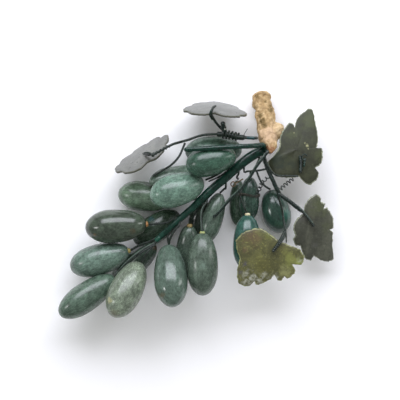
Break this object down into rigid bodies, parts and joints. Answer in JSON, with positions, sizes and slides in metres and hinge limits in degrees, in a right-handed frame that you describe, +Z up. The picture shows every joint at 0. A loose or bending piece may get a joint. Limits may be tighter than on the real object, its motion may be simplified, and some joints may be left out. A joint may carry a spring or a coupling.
{
  "type": "jade grape carving",
  "caption": "Carved green stone bunch of long grapes on thread-wrapped wires, with thin carved vine leaves and a short vine twig, lying on its side.",
  "frame": {"origin": "middle of the bunch's outline, on the table top that it lies on", "axes": "+X along the bunch, from the lowest grape to the leaves on the right, +Y towards the top of the twig, +Z up from the table"},
  "size_m": [0.2066, 0.1722, 0.0532],
  "materials": {
    "stone_dark": "polished",
    "stone_mid": "polished",
    "stone_pale": "polished",
    "stone_teal": "polished",
    "stone_grey": "polished",
    "leaf_grey": "satin",
    "leaf_mottled": "satin",
    "plug": "satin",
    "thread": "matte",
    "stem_green": "satin",
    "stem_pale": "matte",
    "twig_wood": "matte"
  },
  "bodies": {
    "root": {"grape_far_left": "stone_dark", "grape_slim_behind": "stone_dark", "grape_behind_stem": "stone_dark", "grape_under_wires": "stone_dark", "grape_right_dark": "stone_dark", "grape_left_middle": "stone_mid", "grape_left_low": "stone_mid", "grape_low_middle": "stone_mid", "grape_low_right": "stone_mid", "grape_top_behind": "stone_mid", "grape_right_large": "stone_mid", "grape_slim_front": "stone_pale", "grape_pale_front": "stone_pale", "grape_pale_left": "stone_pale", "grape_top_front": "stone_pale", "grape_teal": "stone_teal", "grape_right_coiled": "stone_teal", "grape_low_speckled": "stone_grey", "grape_behind_low": "stone_grey", "grape_grey_behind": "stone_grey", "leaf_top": "leaf_grey", "leaf_left": "leaf_grey", "leaf_big": "leaf_grey", "leaf_right": "leaf_grey", "leaf_front": "leaf_mottled", "plug_far_left": "plug", "plug_left_middle": "plug", "plug_low_right": "plug", "plug_behind_low": "plug", "plug_teal": "plug", "wire_top_root": "thread", "wrapping_top": "thread", "wire_leaf_left": "thread", "wire_leaf_top": "thread", "wire_grey_behind": "thread", "wire_pale_front": "thread", "wire_pale_left": "thread", "wire_far_left": "thread", "wire_left_middle": "thread", "wire_left_low": "thread", "wire_low_speckled": "thread", "wire_low_middle": "thread", "wire_behind_low": "thread", "wire_low_right": "thread", "wire_slim_front": "thread", "wire_right_dark": "thread", "wire_right_coiled": "thread", "wire_cross": "thread", "wire_tie": "thread", "wire_right_large": "thread", "wire_leaf_right": "thread", "wire_leaf_front": "thread", "wire_leaf_big": "thread", "wire_teal": "thread", "stem_main": "stem_green", "stem_smooth": "stem_green", "stem_right": "stem_green", "wrapping_leaf_big": "stem_green", "stem_front": "stem_pale", "twig": "twig_wood"}
  },
  "joints": []
}
